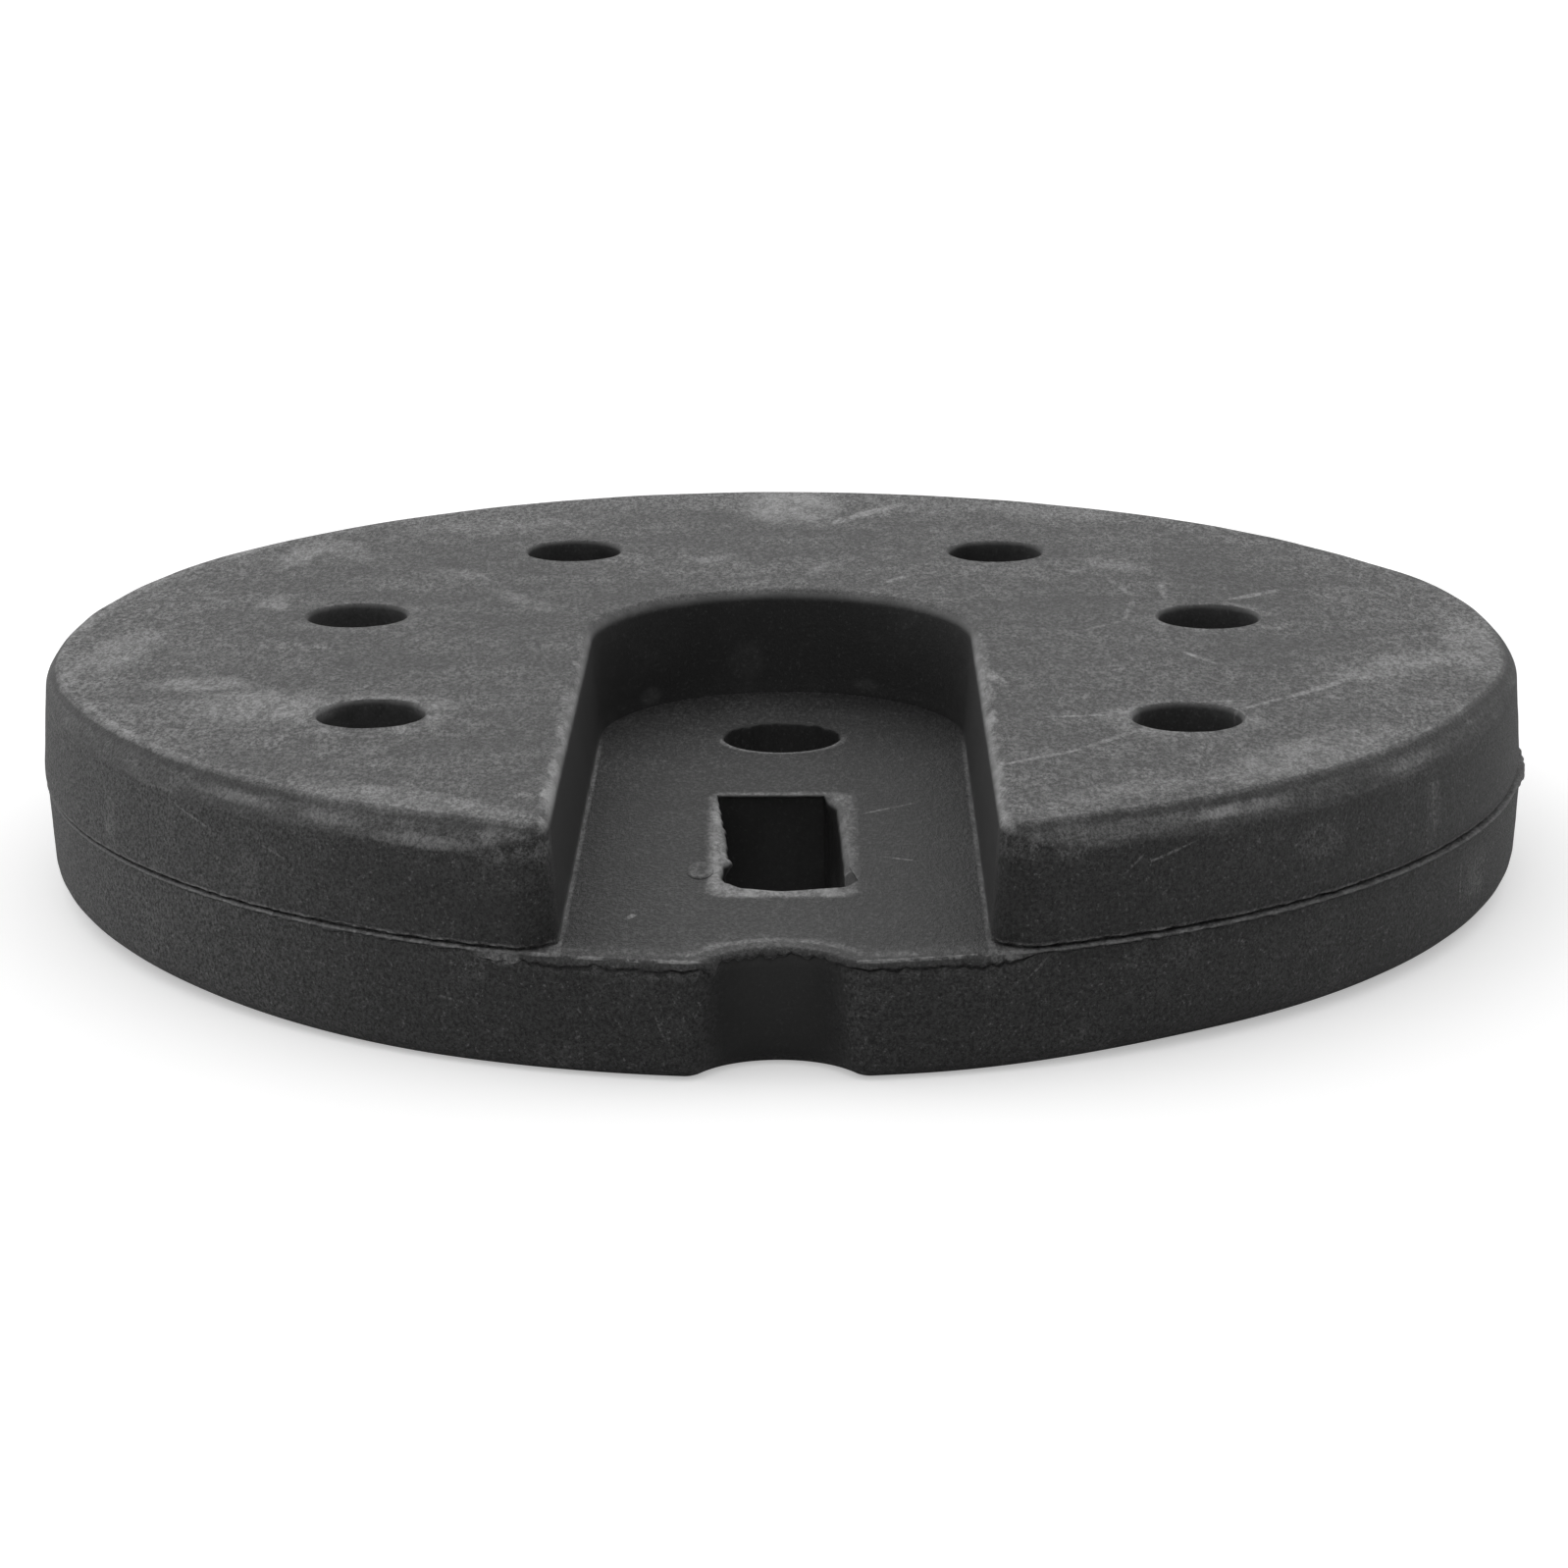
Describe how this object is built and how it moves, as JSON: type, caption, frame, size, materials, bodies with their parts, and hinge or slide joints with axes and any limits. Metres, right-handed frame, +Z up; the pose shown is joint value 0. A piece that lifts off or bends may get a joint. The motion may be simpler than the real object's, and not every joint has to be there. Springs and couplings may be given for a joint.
{
  "type": "weighted lamp base",
  "caption": "Round weighted lamp base of black filled rubber with a cord recess, a pipe hole, a cord slot, a rim notch and six through holes.",
  "frame": {"origin": "on the axis of the lamp pipe hole, at the underside", "axes": "+Z up along the pipe hole, +Y towards the closed back, so that the recess and the notch open to -Y"},
  "size_m": [0.14, 0.1394, 0.0206],
  "materials": {
    "filled_rubber": "matte moulded rubber, greyed on top by a chalky bloom, with pale worn edges"
  },
  "bodies": {
    "root": {"base_disc": "filled_rubber"}
  },
  "joints": []
}
